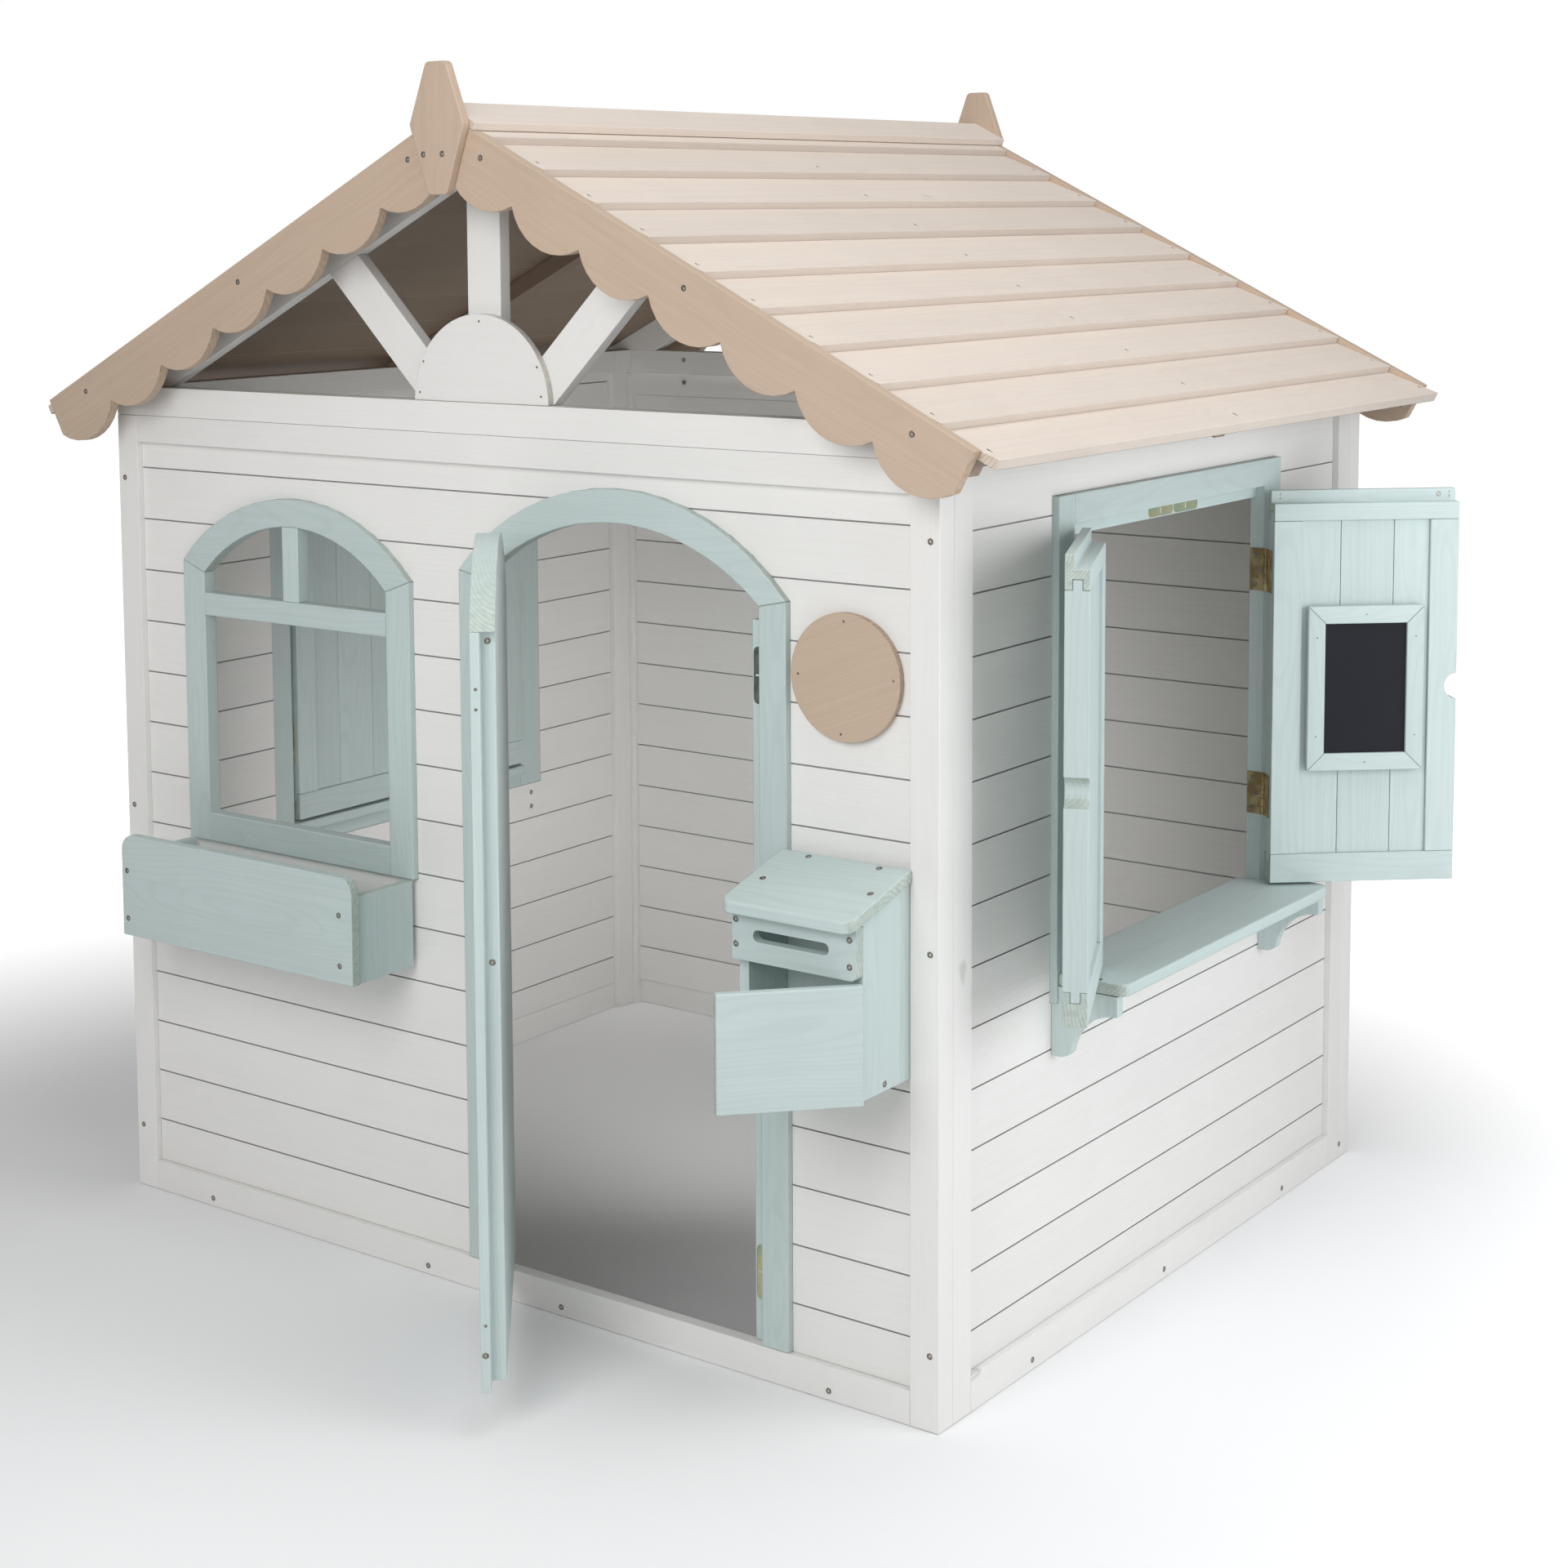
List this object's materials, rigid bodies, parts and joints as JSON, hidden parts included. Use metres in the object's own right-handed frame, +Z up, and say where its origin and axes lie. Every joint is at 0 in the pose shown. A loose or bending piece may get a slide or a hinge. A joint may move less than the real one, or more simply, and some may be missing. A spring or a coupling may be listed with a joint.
{
  "type": "playhouse",
  "caption": "Timber playhouse with a lapped gable roof, scalloped bargeboards, hinged arched door and shutters, counters, planter and mailbox.",
  "frame": {"origin": "on the ground, under the front bottom rail at the middle of the house's width", "axes": "+X to the right seen from the front, -Y out of the front wall, +Z up"},
  "size_m": [1.619, 1.4845, 1.527],
  "materials": {
    "white_timber": "white washed paint, satin",
    "mint_timber": "pale mint paint, satin",
    "taupe_timber": "taupe paint, satin",
    "beige_timber": "beige stain, matt",
    "blackboard_paint": "matt blackboard paint",
    "hinge_brass": "dull dark brass"
  },
  "bodies": {
    "house": {"front_wall_frame": "white_timber", "front_wall_boards": "white_timber", "front_gable_beam": "white_timber", "front_gable_truss": "white_timber", "sun_disc": "white_timber", "back_wall_frame": "white_timber", "back_wall_boards": "white_timber", "back_gable_beam": "white_timber", "back_gable_truss": "white_timber", "right_wall_frame": "white_timber", "right_wall_boards": "white_timber", "left_wall_frame": "white_timber", "left_wall_boards": "white_timber", "door_frame": "mint_timber", "door_stop": "mint_timber", "front_window_frame": "mint_timber", "right_window_frame": "mint_timber", "left_window_frame": "mint_timber", "right_counter": "mint_timber", "left_counter": "mint_timber", "right_bracket_near": "mint_timber", "right_bracket_far": "mint_timber", "left_bracket_near": "mint_timber", "left_bracket_far": "mint_timber", "planter_front": "mint_timber", "planter_tray": "mint_timber", "mailbox_box": "mint_timber", "mailbox_slot_board": "mint_timber", "mailbox_lid": "mint_timber", "bargeboard_front_right": "taupe_timber", "bargeboard_front_left": "taupe_timber", "bargeboard_back_right": "taupe_timber", "bargeboard_back_left": "taupe_timber", "finial_front": "taupe_timber", "finial_back": "taupe_timber", "round_sign": "taupe_timber", "roof_boards_right": "beige_timber", "roof_boards_left": "beige_timber", "ridge_cap_right": "beige_timber", "ridge_cap_left": "beige_timber", "roof_rafters_front": "beige_timber", "roof_rafters_middle": "beige_timber", "roof_rafters_back": "beige_timber", "door_hinge_upper": "hinge_brass", "door_hinge_lower": "hinge_brass", "right_near_hinge_upper": "hinge_brass", "right_near_hinge_lower": "hinge_brass", "right_far_hinge_upper": "hinge_brass", "right_far_hinge_lower": "hinge_brass", "left_near_hinge_upper": "hinge_brass", "left_near_hinge_lower": "hinge_brass", "left_far_hinge_upper": "hinge_brass", "left_far_hinge_lower": "hinge_brass"},
    "leaf_door": {"door_leaf": "mint_timber"},
    "leaf_right_shutter_near": {"right_shutter_near": "mint_timber"},
    "leaf_right_shutter_far": {"right_shutter_far": "mint_timber", "blackboard": "blackboard_paint"},
    "leaf_left_shutter_near": {"left_shutter_near": "mint_timber"},
    "leaf_left_shutter_far": {"left_shutter_far": "mint_timber"},
    "leaf_mailbox_flap": {"mailbox_flap": "mint_timber"}
  },
  "joints": [
    {"name": "door_hinge", "type": "hinge", "parent": "house", "child": "leaf_door", "pos_m": [0.0024, -0.0138, 0.5], "axis": [0, 0, 1], "range_deg": [-79.3, 50.7]},
    {"name": "right_shutter_near_hinge", "type": "hinge", "parent": "house", "child": "leaf_right_shutter_near", "pos_m": [0.6593, 0.2881, 0.72], "axis": [0, 0, 1], "range_deg": [-10, 155.5]},
    {"name": "right_shutter_far_hinge", "type": "hinge", "parent": "house", "child": "leaf_right_shutter_far", "pos_m": [0.6593, 0.7909, 0.72], "axis": [0, 0, 1], "range_deg": [-131, 33]},
    {"name": "left_shutter_near_hinge", "type": "hinge", "parent": "house", "child": "leaf_left_shutter_near", "pos_m": [-0.6593, 0.2881, 0.72], "axis": [0, 0, 1], "range_deg": [0, 164]},
    {"name": "left_shutter_far_hinge", "type": "hinge", "parent": "house", "child": "leaf_left_shutter_far", "pos_m": [-0.6593, 0.7909, 0.72], "axis": [0, 0, 1], "range_deg": [-164, 0]},
    {"name": "mailbox_flap_hinge", "type": "hinge", "parent": "house", "child": "leaf_mailbox_flap", "pos_m": [0.6161, -0.1022, 0.461], "axis": [0, 0, 1], "range_deg": [-47, 60]}
  ]
}
